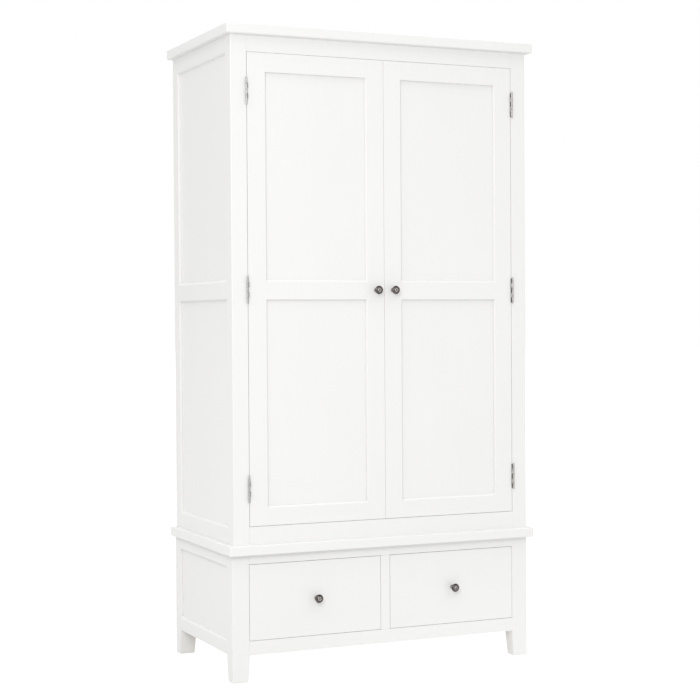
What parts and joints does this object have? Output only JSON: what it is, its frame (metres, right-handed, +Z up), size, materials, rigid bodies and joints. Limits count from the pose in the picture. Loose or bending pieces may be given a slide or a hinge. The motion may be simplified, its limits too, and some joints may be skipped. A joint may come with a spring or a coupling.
{
  "type": "wardrobe",
  "caption": "Free-standing painted wardrobe: panelled hinged doors over a hanging space with a rail, on a wider base with side-by-side drawers and tapered legs.",
  "frame": {"origin": "on the floor, under the middle of the wardrobe's overall box", "axes": "+Z up; the doors and drawers face -Y; +X towards the right as seen from the front"},
  "size_m": [1.03, 0.5745, 1.95],
  "materials": {
    "white_paint": "white satin paint over timber, with a faint brush texture",
    "drawer_wood": "pale timber with clear matt lacquer",
    "knob_metal": "dark antique pewter, worn brighter on its high edges",
    "hinge_steel": "satin nickel plate",
    "rail_chrome": "polished chrome plate",
    "catch_plastic": "white moulded plastic with two steel poles"
  },
  "bodies": {
    "root": {"top_board": "white_paint", "base_top_board": "white_paint", "upper_post_front_left": "white_paint", "upper_post_front_right": "white_paint", "upper_post_rear_left": "white_paint", "upper_post_rear_right": "white_paint", "upper_side_left": "white_paint", "upper_side_right": "white_paint", "upper_front_top_rail": "white_paint", "upper_front_bottom_rail": "white_paint", "upper_back_panel": "white_paint", "upper_floor_board": "white_paint", "hanging_rail": "rail_chrome", "rail_socket_left": "rail_chrome", "rail_socket_right": "rail_chrome", "magnetic_catch": "catch_plastic", "leg_front_left": "white_paint", "leg_front_right": "white_paint", "leg_rear_left": "white_paint", "leg_rear_right": "white_paint", "base_front_top_rail": "white_paint", "base_front_bottom_rail": "white_paint", "base_centre_stile": "white_paint", "base_side_left": "white_paint", "base_side_right": "white_paint", "base_back_panel": "white_paint", "drawer_runner_frame": "drawer_wood", "hinge_carcass_leaf_lower_left": "hinge_steel", "hinge_carcass_leaf_middle_left": "hinge_steel", "hinge_carcass_leaf_upper_left": "hinge_steel", "hinge_carcass_leaf_lower_right": "hinge_steel", "hinge_carcass_leaf_middle_right": "hinge_steel", "hinge_carcass_leaf_upper_right": "hinge_steel"},
    "left_door": {"left_door_frame": "white_paint", "left_door_panel_upper": "white_paint", "left_door_panel_lower": "white_paint", "left_door_knob": "knob_metal", "hinge_door_leaf_lower_left": "hinge_steel", "hinge_door_leaf_middle_left": "hinge_steel", "hinge_door_leaf_upper_left": "hinge_steel"},
    "right_door": {"right_door_frame": "white_paint", "right_door_panel_upper": "white_paint", "right_door_panel_lower": "white_paint", "right_door_knob": "knob_metal", "hinge_door_leaf_lower_right": "hinge_steel", "hinge_door_leaf_middle_right": "hinge_steel", "hinge_door_leaf_upper_right": "hinge_steel"},
    "left_drawer": {"left_drawer_front": "white_paint", "left_drawer_inner_side": "drawer_wood", "left_drawer_outer_side": "drawer_wood", "left_drawer_back": "drawer_wood", "left_drawer_bottom": "drawer_wood", "left_drawer_knob": "knob_metal"},
    "right_drawer": {"right_drawer_front": "white_paint", "right_drawer_inner_side": "drawer_wood", "right_drawer_outer_side": "drawer_wood", "right_drawer_back": "drawer_wood", "right_drawer_bottom": "drawer_wood", "right_drawer_knob": "knob_metal"}
  },
  "joints": [
    {"name": "left_door_hinge", "type": "hinge", "parent": "root", "child": "left_door", "pos_m": [-0.449, -0.2638, 1.1667], "axis": [0, 0, -1], "range_deg": [0, 170]},
    {"name": "right_door_hinge", "type": "hinge", "parent": "root", "child": "right_door", "pos_m": [0.449, -0.2638, 1.1667], "axis": [0, 0, 1], "range_deg": [0, 170]},
    {"name": "left_drawer_slide", "type": "slide", "parent": "root", "child": "left_drawer", "axis": [0, -1, 0], "range_m": [0, 0.38]},
    {"name": "right_drawer_slide", "type": "slide", "parent": "root", "child": "right_drawer", "axis": [0, -1, 0], "range_m": [0, 0.38]}
  ]
}
